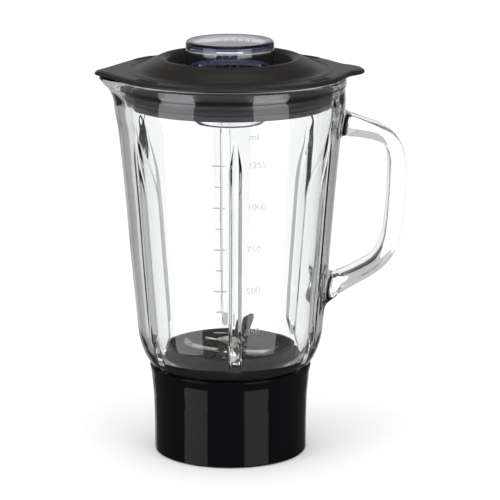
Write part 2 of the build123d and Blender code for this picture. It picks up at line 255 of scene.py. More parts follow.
# ---------------------------------------------------------------- repeated details
def ring_array_tree():
    """Geometry Nodes tree: copies of the piece turned round the vertical axis and stepped up it."""
    tree = bpy.data.node_groups.get("ring array")
    if tree:
        return tree
    tree = bpy.data.node_groups.new("ring array", "GeometryNodeTree")
    for name, kind in (
        ("Geometry", "Geometry"), ("Count", "Int"), ("Start Angle", "Float"), ("Step Angle", "Float"),
        ("Step Height", "Float"), ("Step Outwards", "Float"), ("Material", "Material"),
    ):
        tree.interface.new_socket(name, in_out="INPUT", socket_type="NodeSocket" + kind)
    tree.interface.new_socket("Geometry", in_out="OUTPUT", socket_type="NodeSocketGeometry")
    given = add(tree, "NodeGroupInput").outputs
    index = add(tree, "GeometryNodeInputIndex").outputs["Index"]
    points = add(tree, "GeometryNodePoints", {"Count": given["Count"]}).outputs[0]
    turn = add(tree, "ShaderNodeMath", {0: index, 1: given["Step Angle"], 2: given["Start Angle"]},
               operation="MULTIPLY_ADD").outputs[0]
    height = add(tree, "ShaderNodeMath", {0: index, 1: given["Step Height"]}, operation="MULTIPLY").outputs[0]
    outwards = add(tree, "ShaderNodeMath", {0: index, 1: given["Step Outwards"]}, operation="MULTIPLY").outputs[0]
    level = []
    for operation in ("COSINE", "SINE"):
        share = add(tree, "ShaderNodeMath", {0: turn}, operation=operation).outputs[0]
        level.append(add(tree, "ShaderNodeMath", {0: share, 1: outwards}, operation="MULTIPLY").outputs[0])
    place = add(tree, "ShaderNodeCombineXYZ", {"X": level[0], "Y": level[1], "Z": height}).outputs[0]
    moved = add(tree, "GeometryNodeSetPosition", {"Geometry": points, "Position": place}).outputs[0]
    turned_by = add(tree, "ShaderNodeCombineXYZ", {"Z": turn}).outputs[0]
    copies = add(tree, "GeometryNodeInstanceOnPoints",
                 {"Points": moved, "Instance": given["Geometry"], "Rotation": turned_by}).outputs[0]
    real = add(tree, "GeometryNodeRealizeInstances", {"Geometry": copies}).outputs[0]
    dressed = add(tree, "GeometryNodeSetMaterial", {"Geometry": real, "Material": given["Material"]}).outputs[0]
    add(tree, "NodeGroupOutput", {"Geometry": dressed})
    return tree


def ring_array(piece, material, count, start=0.0, step=None, rise=0.0, outwards=0.0, crease=38.0):
    """Repeat a piece round the vertical axis (degrees) and up it (millimetres), as one plain mesh."""
    tree = ring_array_tree()
    sockets = {item.name: item.identifier for item in tree.interface.items_tree if item.in_out == "INPUT"}
    change = piece.modifiers.new("ring array", "NODES")
    change.node_group = tree
    inputs = {
        "Count": count,
        "Start Angle": math.radians(start),
        "Step Angle": math.radians(360.0 / count if step is None else step),
        "Step Height": rise * MM,
        "Step Outwards": outwards * MM,
        "Material": material,
    }
    for name, value in inputs.items():
        change[sockets[name]] = value
    return baked(piece, crease)


# ---------------------------------------------------------------- materials
def add(tree, kind, links=None, values=None, **settings):
    """Add a node with its settings, its sockets' values and its links."""
    node = tree.nodes.new(kind)
    for name, value in settings.items():
        setattr(node, name, value)
    for name, value in (values or {}).items():
        node.inputs[name].default_value = value
    for name, socket in (links or {}).items():
        tree.links.new(socket, node.inputs[name])
    return node


def linear(hex_colour):
    """An sRGB hex colour as linear red, green, blue and full alpha."""
    parts = [int(hex_colour.lstrip("#")[start:start + 2], 16) / 255 for start in (0, 2, 4)]
    return (*[part / 12.92 if part <= 0.04045 else ((part + 0.055) / 1.055) ** 2.4 for part in parts], 1.0)


def begin(name):
    """A new material with its tree, shader and Object coordinates."""
    material = bpy.data.materials.new(name)
    material.use_nodes = True
    tree = material.node_tree
    shader = tree.nodes["Principled BSDF"]
    place = add(tree, "ShaderNodeTexCoord").outputs["Object"]
    return material, tree, shader, place


def set_shader(shader, **values):
    """Set the shader's own sockets, with underscores for the spaces in their names."""
    for name, value in values.items():
        shader.inputs[name.replace("_", " ")].default_value = value


def mottle(tree, place, size_mm, low, high, detail=3.0):
    """Noise with blotches of a real size, spread between two values."""
    noise = add(tree, "ShaderNodeTexNoise", {"Vector": place},
                {"Scale": 1000.0 / size_mm, "Detail": detail, "Roughness": 0.55})
    spread = add(tree, "ShaderNodeMapRange", {"Value": noise.outputs["Fac"]},
                 {"From Min": 0.3, "From Max": 0.7, "To Min": low, "To Max": high})
    return spread.outputs["Result"]


def relief(tree, shader, height, depth_mm, strength=1.0):
    """Raise the surface by a pattern of a real depth."""
    bump = add(tree, "ShaderNodeBump", {"Height": height}, {"Strength": strength, "Distance": depth_mm * MM})
    tree.links.new(bump.outputs["Normal"], shader.inputs["Normal"])


def two_tones(tree, shader, share, low, high):
    """Colour the surface between two hex colours, by a share from 0 to 1."""
    tone = add(tree, "ShaderNodeMix", {"Factor": share}, data_type="RGBA")
    tone.inputs["A"].default_value = linear(low)
    tone.inputs["B"].default_value = linear(high)
    tree.links.new(tone.outputs["Result"], shader.inputs["Base Color"])


def moulded(name, rough, bumps, tones=None, **sockets):
    """A moulded surface whose roughness, relief and, with tones, colour vary over blotches of a real size.

    rough is its (size, lowest, highest), bumps (size, detail, depth, strength) and tones (size, low, high).
    """
    material, tree, shader, place = begin(name)
    set_shader(shader, **sockets)
    tree.links.new(mottle(tree, place, *rough), shader.inputs["Roughness"])
    size_mm, detail, depth_mm, strength = bumps
    relief(tree, shader, mottle(tree, place, size_mm, 0.0, 1.0, detail), depth_mm, strength)
    if tones:
        size_mm, low, high = tones
        two_tones(tree, shader, mottle(tree, place, size_mm, 0.0, 1.0), low, high)
    return material


def pressed_glass():
    """Soda-lime glass, pressed in a mould: clear with a faint green-grey cast and a slight waviness."""
    material, tree, shader, place = begin("pressed soda-lime glass")
    set_shader(shader, Base_Color=linear("#fdfefe"), Roughness=0.002, IOR=1.52, Transmission_Weight=1.0)
    relief(tree, shader, mottle(tree, place, 26.0, 0.0, 1.0, 1.0), 0.1, 0.5)
    return material


def pressed_marks():
    """The same glass where figures stand out of it: the sharp edges scatter, so it looks frosted."""
    material, tree, shader, place = begin("pressed glass figures")
    set_shader(shader, Base_Color=linear("#eef2f1"), Roughness=0.3, IOR=1.52, Transmission_Weight=1.0)
    relief(tree, shader, mottle(tree, place, 0.8, 0.0, 1.0), 0.03)
    return material


def gloss_abs():
    """Polished ABS: deep black with a mirror-like skin that shows a faint orange peel."""
    return moulded("polished black ABS", (9.0, 0.045, 0.085), (3.5, 1.0, 0.006, 0.5),
                   Base_Color=linear("#09090b"), IOR=1.53, Specular_IOR_Level=0.085)


def satin_polypropylene():
    """Spark-eroded polypropylene: brown-black with an even fine grain that spreads highlights."""
    return moulded("satin polypropylene", (1.6, 0.34, 0.44), (0.5, 2.0, 0.035, 0.6),
                   (14.0, "#1b1816", "#211e1c"), IOR=1.49)


def gloss_polypropylene():
    """The lid's skirt, from a polished part of the mould: a smooth black that mirrors the lights."""
    return moulded("polished polypropylene", (12.0, 0.07, 0.13), (4.0, 1.0, 0.006, 0.4),
                   Base_Color=linear("#070608"), IOR=1.49, Specular_IOR_Level=0.95,
                   Specular_Tint=linear("#f1ecff"))


def moulded_nylon():
    """Glass-filled nylon: dark grey-black, satin, with faint flow marks."""
    return moulded("satin black nylon", (2.4, 0.3, 0.42), (0.7, 3.0, 0.03, 0.6),
                   (11.0, "#1a1a1b", "#222223"), IOR=1.53)


def grey_silicone():
    """Moulded silicone: a soft grey that lets a little light in, with a dull skin."""
    return moulded("translucent silicone", (3.0, 0.32, 0.45), (0.9, 3.0, 0.02, 0.5),
                   Base_Color=linear("#6f6c74"), IOR=1.41, Subsurface_Weight=0.25, Subsurface_Scale=0.002,
                   Transmission_Weight=0.15)


def black_silicone():
    """Smooth black silicone: deep black with a bright shine on its lips."""
    return moulded("smooth black silicone", (5.0, 0.12, 0.2), (1.5, 3.0, 0.006, 0.5),
                   Base_Color=linear("#070608"), IOR=1.41, Specular_IOR_Level=0.95,
                   Specular_Tint=linear("#f1ecff"))


def nitrile():
    """Moulded nitrile rubber: dead black, dull, slightly speckled."""
    return moulded("nitrile rubber", (1.2, 0.5, 0.68), (0.6, 3.0, 0.03, 1.0),
                   Base_Color=linear("#1d1d1d"), IOR=1.52)


def clear_copolyester(top_z, flange_z):
    """Clear tumbler plastic with a painted glow: the light that thick corners gather is painted into the base colour
    as blue-violet bands at the top and the flange.
    """
    material, tree, shader, place = begin("clear copolyester")
    # painted glow: blue-violet bands at the cap's top rim and round its flange stand in for light gathered in the
    # thick plastic
    height = add(tree, "ShaderNodeSeparateXYZ", {"Vector": place}).outputs["Z"]
    top_glow = add(tree, "ShaderNodeMapRange", {"Value": height},
                   {"From Min": (top_z - 4.6) * MM, "From Max": (top_z - 3.2) * MM}).outputs["Result"]
    distance = add(tree, "ShaderNodeMath", {0: height}, {1: flange_z * MM}, operation="SUBTRACT").outputs[0]
    distance = add(tree, "ShaderNodeMath", {0: distance}, operation="ABSOLUTE").outputs[0]
    flange_glow = add(tree, "ShaderNodeMapRange", {"Value": distance},
                      {"From Min": 1.5 * MM, "From Max": 0.7 * MM}).outputs["Result"]
    level = add(tree, "ShaderNodeMapping", {"Vector": place}, {"Scale": (1.0, 1.0, 0.0)}).outputs[0]
    radius = add(tree, "ShaderNodeVectorMath", {0: level}, operation="LENGTH").outputs["Value"]
    near_wall = add(tree, "ShaderNodeMapRange", {"Value": radius},
                    {"From Min": 22.5 * MM, "From Max": 25.0 * MM}).outputs["Result"]
    top_glow = add(tree, "ShaderNodeMath", {0: top_glow, 1: near_wall}, operation="MULTIPLY").outputs[0]
    painted_glow = add(tree, "ShaderNodeMath", {0: top_glow, 1: flange_glow}, operation="MAXIMUM").outputs[0]
    # the painted glow turns the base colour from clear to blue-violet
    two_tones(tree, shader, painted_glow, "#f4f5fb", "#9da2d3")
    set_shader(shader, Roughness=0.012, IOR=1.5, Transmission_Weight=1.0)
    relief(tree, shader, mottle(tree, place, 12.0, 0.0, 1.0, 1.0), 0.02, 0.4)
    return material


def polished_stainless():
    """Stamped stainless sheet, tumbled and polished: warm bright metal with fine lengthwise scratches."""
    material, tree, shader, place = begin("polished stainless sheet")
    stretched = add(tree, "ShaderNodeMapping", {"Vector": place}, {"Scale": (0.25, 3.0, 1.0)}).outputs[0]
    scratches = mottle(tree, stretched, 1.4, 0.0, 1.0, 4.0)
    two_tones(tree, shader, mottle(tree, place, 6.0, 0.0, 1.0), "#c9c3bb", "#d9d5cf")
    set_shader(shader, Metallic=1.0)
    tree.links.new(mottle(tree, stretched, 2.0, 0.14, 0.26), shader.inputs["Roughness"])
    relief(tree, shader, scratches, 0.012, 0.6)
    return material


def turned_metal(name, hex_low, hex_high, low, high):
    """Metal turned on a lathe: fine rings about the axis, 0.25 mm apart, coarse enough to show."""
    material, tree, shader, place = begin(name)
    rings = add(tree, "ShaderNodeTexWave", {"Vector": place},
                {"Scale": 1000.0 / 8.0, "Distortion": 0.4, "Detail": 1.0},
                wave_type="RINGS", rings_direction="Z", wave_profile="SIN").outputs["Fac"]
    two_tones(tree, shader, mottle(tree, place, 5.0, 0.0, 1.0), hex_low, hex_high)
    set_shader(shader, Metallic=1.0)
    tree.links.new(mottle(tree, place, 1.5, low, high), shader.inputs["Roughness"])
    relief(tree, shader, rings, 0.01, 0.5)
    return material


MADE = {}


def finish(slot):
    """The one material that stands for a slot of the record or a look of it, made when first asked for."""
    makers = {
        "pressed_glass": pressed_glass,
        "collar_gloss_black": gloss_abs,
        "moulded_black": moulded_nylon,
        "lid_satin_black": satin_polypropylene,
        "silicone": grey_silicone,
        "black_silicone": black_silicone,
        "black_rubber": nitrile,
        "clear_plastic": lambda: clear_copolyester(CAP_TOP, CAP_FLANGE),
        "blade_steel": polished_stainless,
        "turned_steel": lambda: turned_metal("turned stainless", "#b9b7b3", "#cbc9c5", 0.2, 0.32),
        "bush_bronze": lambda: turned_metal("sintered bronze", "#8a6440", "#a0774e", 0.38, 0.5),
        "brass": lambda: turned_metal("turned brass", "#c9a659", "#d8b86c", 0.22, 0.34),
        "figures": pressed_marks,
        "skirt": gloss_polypropylene,
    }
    if slot not in MADE:
        MADE[slot] = makers[slot]()
    return MADE[slot]


def dress(piece, slot, body, *nodes, look=None):
    """Give a piece its finish, its body and the CAD nodes that it stands for."""
    if not piece.data.materials or piece.data.materials[0] is None:
        piece.data.materials.clear()
        piece.data.materials.append(finish(look or slot))
    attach(piece, body)
    if nodes:
        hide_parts(*nodes)


def dressed_ring(piece, slot, body, count, look=None, **steps):
    """Repeat a piece round the axis and give the copies their finish and body."""
    ring_array(piece, finish(look or slot), count, **steps)
    dress(piece, slot, body, look=look)


# ---------------------------------------------------------------- glass jug
RIB_ANGLES = [30.0 + 60.0 * index for index in range(6)]
RIM_START = 229.85  # height where the rim's round begins
RIM_ROUND = 2.15
SPOUT_LIP = 231.5
RIDGE_LOW, RIDGE_HIGH, RIDGE_DEPTH = 39.9, 43.1, 0.6  # the thread's three ridges on the neck
PAST_RIBS = 99.0  # a distance aside that no rib or groove reaches
HANDLE_CORNER = 3.9
ROOT_FLARE = 7.0
SCALE_FOOT, SCALE_STEP = 87.0, 25.5
MARK_ANGLE, FIGURE_ANGLE = -99.0, -84.0
MARK_RELIEF, MARK_LIFT = 0.22, 0.05
OUTER_WALL = curve_through([
    (34.5, 43.6), (49.5, 43.6), (51.5, 45.4), (55.5, 49.0), (60.0, 51.8), (66.0, 54.2), (73.0, 55.9),
    (90.5, 57.5), (118.0, 60.0), (155.7, 63.0), (188.0, 65.9), (200.0, 67.2), (210.0, 69.0), (215.0, 69.5),
    (221.0, 69.1), (224.0, 69.05), (226.0, 69.8), (RIM_START, 69.8),
])
INNER_WALL = curve_through([
    (34.5, 40.3), (52.5, 40.3), (54.5, 41.3), (60.0, 45.2), (66.0, 48.8), (76.0, 51.7), (90.5, 52.8),
    (118.0, 55.2), (155.7, 58.2), (188.0, 61.1), (200.0, 62.4), (212.0, 64.7), (219.0, 65.2),
    (RIM_START, 65.5),
])
OUTSIDE_HEIGHTS = [
    34.5, 35.0, 38.0, 39.8, 40.2, 41.0, 42.0, 42.8, 43.2, 46.0, 49.0, 49.5, 50.5, 51.5, 53.0, 55.0, 57.0,
    59.5, 62.0, 65.0, 68.0, 71.0, 74.0, 77.0, 80.0, 84.0, 90.0, 98.0, 108.0, 118.0, 128.0, 138.0, 148.0,
    158.0, 167.0, 175.0, 181.0, 186.0, 189.0, 191.5, 194.0, 196.5, 199.0, 202.0, 205.0, 208.0, 211.0,
    213.5, 216.0, 218.0, 220.0, 222.0, 223.5, 224.3, 225.0, 225.7, 226.4, 228.0, RIM_START,
]
INSIDE_HEIGHTS = [
    RIM_START, 228.0, 225.5, 223.0, 221.0, 219.0, 217.0, 214.5, 212.0, 209.5, 207.0, 204.5, 202.0, 199.5,
    197.0, 194.5, 192.0, 189.5, 187.0, 184.0, 180.5, 176.0, 170.0, 162.0, 152.0, 142.0, 132.0, 122.0,
    112.0, 102.0, 94.0, 88.0, 84.0, 81.0, 78.0, 75.5, 73.0, 70.5, 68.0, 65.5, 63.5, 61.5, 59.5, 57.5,
    56.0, 54.5, 53.0, 51.0, 46.0, 40.0, 35.0, 34.5,
]


def turned_from(angle, middle):
    """How many degrees an angle lies from a middle one, between -180 and 180."""
    return (angle - middle + 180.0) % 360.0 - 180.0


def spout_swell(angle, height, opening, low, reach):
    """How far the spout pushes the wall outwards: pointed at the tip and fading down the wall."""
    away = abs(turned_from(angle, 180.0)) / opening
    if away >= 1.0 or height <= low:
        return 0.0
    soft = (math.sqrt(away * away + 0.0036) - 0.06) / (math.sqrt(1.0036) - 0.06)
    lift = min(1.0, (height - low) / (SPOUT_LIP - low))
    return reach * (1.0 - soft) ** 1.75 * (0.35 * lift + 0.65 * lift * lift)


def outside_radius(angle, aside, height, jug):
    """The glass's outer surface: wall, shallow grooves behind the ribs, thread ridges and spout."""
    radius = OUTER_WALL(height)
    groove = smooth(74.0, 84.0, height) * (1.0 - smooth(186.0, 199.0, height))
    radius -= jug.groove_depth / MM * groove * (1.0 - smooth(0.4, 1.0, abs(aside) / 2.9))
    if RIDGE_LOW < height < RIDGE_HIGH:
        along = angle % 120.0
        climb = 1.0 if RIDGE_LOW + 1.0 <= height <= RIDGE_HIGH - 1.0 else 0.35
        radius += RIDGE_DEPTH * climb * smooth(0.0, 3.0, along) * (1.0 - smooth(67.0, 70.0, along))
    return radius + spout_swell(angle, height, 26.0, 215.5, jug.spout_length / MM)


def rib_share(height):
    """How far a rib is drawn in at a height: 1 along its length, 0 past its ends."""
    return (1.0 - smooth(160.0, 206.0, height)) * smooth(61.0, 78.0, height)


def inside_radius(angle, aside, height, jug):
    """The glass's inner surface: wall, the flat-topped upright ribs that stand in from it, and spout."""
    radius = INNER_WALL(height)
    half_width = jug.rib_width / MM / 2
    crest = 1.0 - smooth(half_width - 0.55, half_width + 0.75, abs(aside))
    radius -= jug.rib_depth / MM * rib_share(height) * crest
    return radius + spout_swell(angle, height, 23.5, 217.5, jug.spout_length / MM)


def jug_columns(jug):
    """The jug's columns, each an angle and a distance aside from it: parallel lines at the ribs, wider between."""
    edge = jug.rib_width / MM / 2
    steps = [0.0, 0.5 * edge, edge - 0.8, edge - 0.5, edge - 0.25, edge - 0.05, edge + 0.1, edge + 0.25,
             edge + 0.45, edge + 0.7, edge + 1.0, edge + 1.8]
    asides = [-step for step in reversed(steps[1:])] + steps
    columns = []
    for rib in RIB_ANGLES:
        columns += [(rib, aside) for aside in asides]
        count = 34 if abs(turned_from(rib + 30.0, 180.0)) < 1.0 else 20
        columns += [(rib + 7.0 + 46.0 * (index + 0.5) / count, None) for index in range(count)]
    return columns


def jug_wall(jug):
    """The jug's glass without its handle, as one closed wall."""
    rim_round = [math.pi * step / 8 for step in range(1, 8)]
    vertices = []
    columns = jug_columns(jug)
    for angle, aside in columns:
        near = PAST_RIBS if aside is None else aside
        outside = [(outside_radius(angle, near, height, jug), height) for height in OUTSIDE_HEIGHTS]
        inside = [(inside_radius(angle, near, height, jug), height) for height in INSIDE_HEIGHTS]
        middle = (outside[-1][0] + inside[0][0]) / 2
        half = (outside[-1][0] - inside[0][0]) / 2
        rim = [(middle + half * math.cos(turn), RIM_START + RIM_ROUND * math.sin(turn)) for turn in rim_round]
        across, along = math.cos(math.radians(angle)), math.sin(math.radians(angle))
        for radius, height in outside + rim + inside:
            drift = 0.0 if aside is None else aside * (0.3 + 0.7 * (1.0 - smooth(184.0, 205.0, height)))
            forth = math.sqrt(radius * radius - drift * drift)
            vertices.append((forth * across - drift * along, forth * along + drift * across, height))
    return mesh_object("glass_jug_wall", vertices, grid_faces(len(columns), len(vertices) // len(columns)), 40.0)


HANDLE_EDGES = [
    ((64.0, 213.5), (64.0, 193.5)), ((68.5, 210.0), (68.5, 194.6)), ((73.0, 207.2), (73.0, 194.3)),
    ((80.0, 204.4), (79.6, 193.4)), ((89.4, 200.9), (87.6, 191.6)), ((97.2, 196.6), (92.7, 188.6)),
    ((102.4, 190.4), (95.0, 184.0)), ((105.0, 182.0), (95.9, 177.4)), ((106.1, 168.0), (95.7, 166.0)),
    ((105.1, 150.0), (94.8, 150.0)), ((103.4, 135.0), (93.3, 135.6)), ((100.8, 125.6), (90.9, 127.0)),
    ((95.8, 117.2), (86.2, 120.0)), ((88.4, 110.4), (79.4, 115.4)), ((75.0, 102.6), (70.2, 110.9)),
    ((66.5, 97.6), (65.4, 109.2)), ((61.5, 93.8), (61.5, 108.8)), ((56.0, 89.5), (56.0, 110.5)),
]


def handle_bar(jug):
    """The solid glass handle, lofted between its outer and inner edges and flared where it meets the wall."""
    places = list(range(len(HANDLE_EDGES)))
    edge_curves = [
        [curve_through([(place, HANDLE_EDGES[place][side][axis]) for place in places]) for axis in (0, 1)]
        for side in (0, 1)
    ]
    rings = 86
    corner_steps = 5
    vertices = []
    for ring in range(rings):
        place = (len(places) - 1) * ring / (rings - 1)
        outer, inner = [Vector((curves[0](place), curves[1](place))) for curves in edge_curves]
        middle = (outer + inner) / 2
        out = (outer - inner).normalized()
        thick = (outer - inner).length
        root = max(1.0 - smooth(0.0, 2.4, place), smooth(len(places) - 3.0, len(places) - 1.0, place))
        wide = jug.handle_width / MM + ROOT_FLARE * root
        for quarter in range(4):
            sign_out = 1 if quarter in (0, 3) else -1
            sign_side = 1 if quarter in (0, 1) else -1
            for step in range(corner_steps + 1):
                turn = math.pi / 2 * (quarter + step / corner_steps)
                reach = sign_out * (thick / 2 - HANDLE_CORNER) + HANDLE_CORNER * math.cos(turn)
                side = sign_side * (wide / 2 - HANDLE_CORNER) + HANDLE_CORNER * math.sin(turn)
                spot = middle + out * reach
                vertices.append((spot.x, side, spot.y))
    return mesh_object("glass_handle", vertices, bar_faces(rings, 4 * (corner_steps + 1)), 50.0)


def soften_roots(piece):
    """Smooth the glass where the handle's ends run into the wall, as a pressed fillet."""
    build = bmesh.new()
    build.from_mesh(piece.data)
    bmesh.ops.triangulate(build, faces=[face for face in build.faces if len(face.verts) > 4])
    roots = [(202.5, 14.5, 18.0), (101.0, 15.5, 18.5)]
    near = []
    for vertex in build.verts:
        x, y, z = vertex.co / MM
        radius = math.hypot(x, y)
        if x < 0 or radius < OUTER_WALL(z) - 0.6 and radius < 63.5:
            continue
        at_root = any(abs(z - height) < half_height and abs(y) < half_width
                      for height, half_height, half_width in roots)
        if at_root and OUTER_WALL(z) - 0.4 < radius < OUTER_WALL(z) + 5.0:
            near.append(vertex)
    for _ in range(7):
        bmesh.ops.smooth_vert(build, verts=near, factor=0.5, use_axis_x=True, use_axis_y=True, use_axis_z=True)
    build.to_mesh(piece.data)
    build.free()
    piece.data.shade_smooth()
    piece.data.set_sharp_from_angle(angle=math.radians(46.0))


def wrap_on_wall(piece, angle, height):
    """Bend a flat mesh drawn in the XY plane, in metres, round the jug's outer wall."""
    for vertex in piece.data.vertices:
        level = height + vertex.co.y / MM
        radius = OUTER_WALL(level) + MARK_LIFT + vertex.co.z / MM
        turn = math.radians(angle) + vertex.co.x / MM / OUTER_WALL(height)
        vertex.co = Vector((radius * math.cos(turn), radius * math.sin(turn), level)) * MM


def numeral(text, size, height):
    """A figure standing slightly out of the glass."""
    letters = bpy.data.curves.new("figure", "FONT")
    letters.body = text
    letters.size = size * MM
    letters.extrude = MARK_RELIEF * MM
    letters.align_y = "CENTER"
    letters.resolution_u = 3
    holder = bpy.data.objects.new("figure", letters)
    bpy.context.scene.collection.objects.link(holder)
    bpy.context.view_layer.update()
    mesh = bpy.data.meshes.new_from_object(holder.evaluated_get(bpy.context.evaluated_depsgraph_get()))
    bpy.data.objects.remove(holder)
    piece = linked("figure", mesh)
    wrap_on_wall(piece, FIGURE_ANGLE, height)
    return piece


# ---------------------------------------------------------------- lid
LID_FACE = 235.0
SKIRT_TOP, SKIRT_INSIDE = 232.2, 56.0
CAP_TOP, CAP_FLANGE, CAP_NOTCH_RADIUS = 252.3, 236.0, 28.0
HANDLE_TAB = curve_through([
    (0.0, 81.0), (4.0, 80.2), (8.0, 77.7), (11.0, 74.6), (14.0, 72.7), (18.0, 71.5), (24.0, 71.0),
    (180.0, 71.0),
])
SPOUT_TAB = curve_through([
    (0.0, 81.0), (2.5, 80.3), (5.0, 78.2), (8.0, 76.2), (12.0, 74.3), (17.0, 72.7), (23.0, 71.5),
    (30.0, 71.0), (180.0, 71.0),
])


def lid_edge(angle):
    """Radius of the lid's edge with its two tabs."""
    if abs(turned_from(angle, 0.0)) < 60.0:
        return HANDLE_TAB(abs(turned_from(angle, 0.0)))
    return SPOUT_TAB(abs(turned_from(angle, 180.0)))


def lid_angles():
    """Angles of the lid's columns: closer together at the tabs."""
    angles = []
    angle = 0.0
    while angle < 359.9:
        angles.append(angle)
        near_tab = min(abs(turned_from(angle + 0.4, middle)) for middle in (0.0, 180.0))
        angle += 0.75 if near_tab < 32.0 else 2.0
    return angles


def lid_outline(angle):
    """The lid's section at an angle, from the cap's hole over the top and down round the skirt."""
    edge = lid_edge(angle)
    turns = [abs(math.radians(turned_from(angle, middle))) for middle in (0.0, 180.0)]
    aside = min(turn * CAP_NOTCH_RADIUS for turn in turns)
    hole = 27.2 + 2.5 * (1.0 - smooth(7.1, 7.9, aside))
    return rounded([
        (hole, 228.4, 0.6), (hole, 233.2, 0.9), (34.4, 233.2, 2.0), (37.6, 240.4, 2.6), (41.6, 243.0, 3.2),
        (48.6, 239.4, 8.0), (55.4, LID_FACE, 6.0), (59.2, LID_FACE, 0.3), (59.8, 235.35, 0.3),
        (61.0, 235.35, 0.3), (61.6, LID_FACE, 0.3), (edge - 3.4, LID_FACE, 0.5), (edge - 1.4, 234.6, 1.6),
        (edge, 233.4, 1.2), (edge - 0.2, 232.3, 0.5), (edge - 1.4, 232.3, 0.3), (edge - 2.2, 232.9, 0.4),
        (62.6, 232.9, 0.4), (61.5, 231.8, 0.5), (61.5, 228.4, 0.4), (60.0, 228.4, 0.2), (60.0, 217.4, 0.2),
        (62.8, 217.4, 0.4), (62.8, 214.0, 0.9), (57.8, 214.0, 0.9), (57.8, 231.3, 1.0), (50.5, 232.3, 2.0),
        (41.5, 240.3, 3.0), (37.0, 231.7, 1.0), (hole + 4.6, 230.7, 0.6), (hole + 4.6, 228.4, 0.6),
    ], steps=4)


# ---------------------------------------------------------------- blades
GROUND_EDGE = 0.22  # share of the sheet's thickness left at a ground edge
WING_CREASE = 24.0
HUB_RADIUS, SHAFT_HOLE = 10.0, 3.05


def wing_plate(name, path, widths, skews, thickness, edge):
    """A curved blade wing: a plate swept along a path in the XZ plane, thinned to a ground edge at both sides."""
    along = curve_through([(index, point[0]) for index, point in enumerate(path)])
    above = curve_through([(index, point[1]) for index, point in enumerate(path)])
    wide = curve_through(list(enumerate(widths)))
    skew = curve_through(list(enumerate(skews)))
    across = [-1.0, -1.0 + edge, -0.4, 0.0, 0.4, 1.0 - edge, 1.0]
    section = [
        (share, side * thickness / 2 * (GROUND_EDGE if abs(share) == 1.0 else 1.0))
        for side, shares in ((1, across), (-1, across[::-1])) for share in shares
    ]
    steps = 28
    vertices = []
    for step in range(steps + 1):
        place = (len(path) - 1) * step / steps
        here = Vector((along(place), above(place)))
        ahead = Vector((along(place + 0.01), above(place + 0.01))) if place < len(path) - 1.02 else None
        behind = Vector((along(place - 0.01), above(place - 0.01))) if place > 0.02 else None
        run = ((ahead or here) - (behind or here)).normalized()
        up = Vector((-run.y, run.x))
        for share, rise in section:
            spot = here + up * rise
            vertices.append((spot.x, skew(place) + share * wide(place) / 2, spot.y))
    return mesh_object(name, vertices, bar_faces(steps + 1, len(section)), WING_CREASE)


# ---------------------------------------------------------------- properties
def length(name, description, default):
    """A length in metres for a user to change."""
    return FloatProperty(name=name, description=description, default=default, unit="LENGTH", subtype="DISTANCE")


class JugSizes(bpy.types.PropertyGroup):
    """Sizes and figures of the glass jug."""

    rib_depth: length("Rib depth", "How far each rib stands in from the wall", 0.0085)
    rib_width: length("Rib width", "Thickness of each rib near its crest", 0.0058)
    groove_depth: length("Groove depth", "Depth of the groove outside each rib", 0.0003)
    spout_length: length("Spout length", "How far the spout leans out of the rim", 0.0102)
    handle_width: length("Handle width", "Width of the grip from side to side", 0.021)
    scale_marks: IntProperty(name="Scale marks", description="Number of long marks on the measuring scale",
                             default=5, min=1, max=12)
    scale_numerals: StringProperty(name="Scale figures", description="Figures on the jug's scale, lowest first",
                                   default="250 500 750 1000 1250")


class LidSizes(bpy.types.PropertyGroup):
    """Sizes of the lid's and the cap's details."""

    grip_marks: IntProperty(name="Grip marks", description="Raised marks in each of the lid's four groups",
                            default=7, min=1, max=12)
    cap_ribs: IntProperty(name="Cap ribs", description="Upright ribs in each of the two groups inside the cap",
                          default=5, min=3, max=9)


class BladeSizes(bpy.types.PropertyGroup):
    """Sizes of the blades."""

    turn: FloatProperty(name="Turn", description="Angle of the upper blade's first wing from the handle",
                        default=math.radians(66.0), unit="ROTATION", subtype="ANGLE")
    thickness: length("Thickness", "Thickness of the blade sheet", 0.0015)


class StageLooks(bpy.types.PropertyGroup):
    """Floor, lights and camera."""

    floor_colour: FloatVectorProperty(name="Floor colour", description="Colour of the studio floor",
                                      default=(0.96, 0.96, 0.96), size=3, subtype="COLOR", min=0.0, max=1.0)
    strip_brightness: FloatProperty(name="Strip brightness", description="Brightness of the two upright soft boxes",
                                    default=2.8, min=0.0)
    lens: FloatProperty(name="Lens", description="Focal length of the camera in millimetres",
                        default=200.0, min=20.0, unit="CAMERA")
    camera_place: FloatVectorProperty(name="Camera place", description="Where the camera stands",
                                      default=(-0.086, -1.638, 0.51), size=3, unit="LENGTH", subtype="TRANSLATION")
    camera_aim: FloatVectorProperty(name="Camera aim", description="The point at the middle of the view",
                                    default=(0.012, 0.0, 0.1235), size=3, unit="LENGTH", subtype="TRANSLATION")


